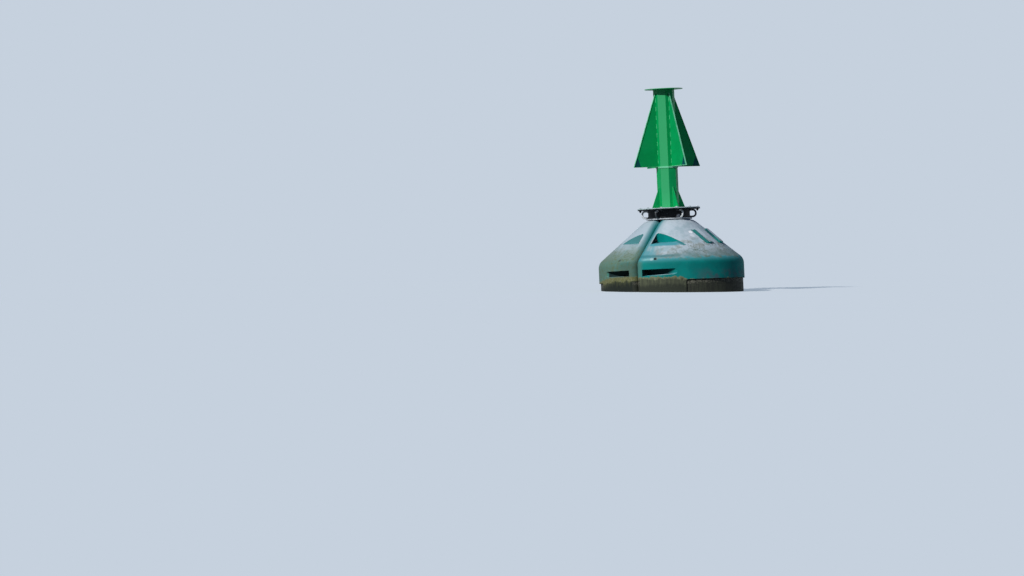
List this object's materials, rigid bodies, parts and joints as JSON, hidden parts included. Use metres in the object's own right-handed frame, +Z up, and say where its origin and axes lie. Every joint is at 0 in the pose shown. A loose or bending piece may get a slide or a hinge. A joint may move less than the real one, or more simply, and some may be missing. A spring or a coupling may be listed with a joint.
{
  "type": "lateral navigation buoy",
  "caption": "Green lateral navigation buoy: two-part plastic float round a steel spine with lifting eyes, an eight-sided mast with tapering daymark fins, a lantern plate and a ballasted tail.",
  "frame": {"origin": "on the buoy's axis at its design waterline", "axes": "+Z up along the mast, +X square to the seam of the float through the middle of one half, +Y along the seam"},
  "size_m": [2.5, 2.4928, 5.217],
  "materials": {
    "float_plastic": "rotomoulded polyethylene, teal green, weathered, with droppings on the cone and weed at the waterline",
    "mast_green": "signal green paint on folded steel plate",
    "hub_black": "black tar epoxy",
    "eye_steel": "worn hot-dip galvanising",
    "tail_steel": "dark antifouling paint with growth",
    "ballast_iron": "cast iron, tarred and rusty"
  },
  "bodies": {
    "root": {"float_half_a": "float_plastic", "float_half_b": "float_plastic", "spine_tube": "tail_steel", "hub_seat_flange": "eye_steel", "hub_drum": "hub_black", "hub_top_flange": "hub_black", "lifting_eye_1": "eye_steel", "lifting_eye_2": "eye_steel", "lifting_eye_3": "eye_steel", "lifting_eye_4": "eye_steel", "lifting_eye_5": "eye_steel", "lifting_eye_6": "eye_steel", "mast_foot_flange": "mast_green", "mast_tube": "mast_green", "gusset_1": "mast_green", "gusset_2": "mast_green", "gusset_3": "mast_green", "gusset_4": "mast_green", "fin_1": "mast_green", "fin_2": "mast_green", "fin_3": "mast_green", "fin_4": "mast_green", "fin_collar": "mast_green", "lantern_plate": "mast_green", "clamp_flange": "tail_steel", "clamp_ribs": "tail_steel", "ballast_disc_1": "ballast_iron", "ballast_disc_2": "ballast_iron", "tail_end_flange": "tail_steel", "mooring_eye": "tail_steel"}
  },
  "joints": []
}
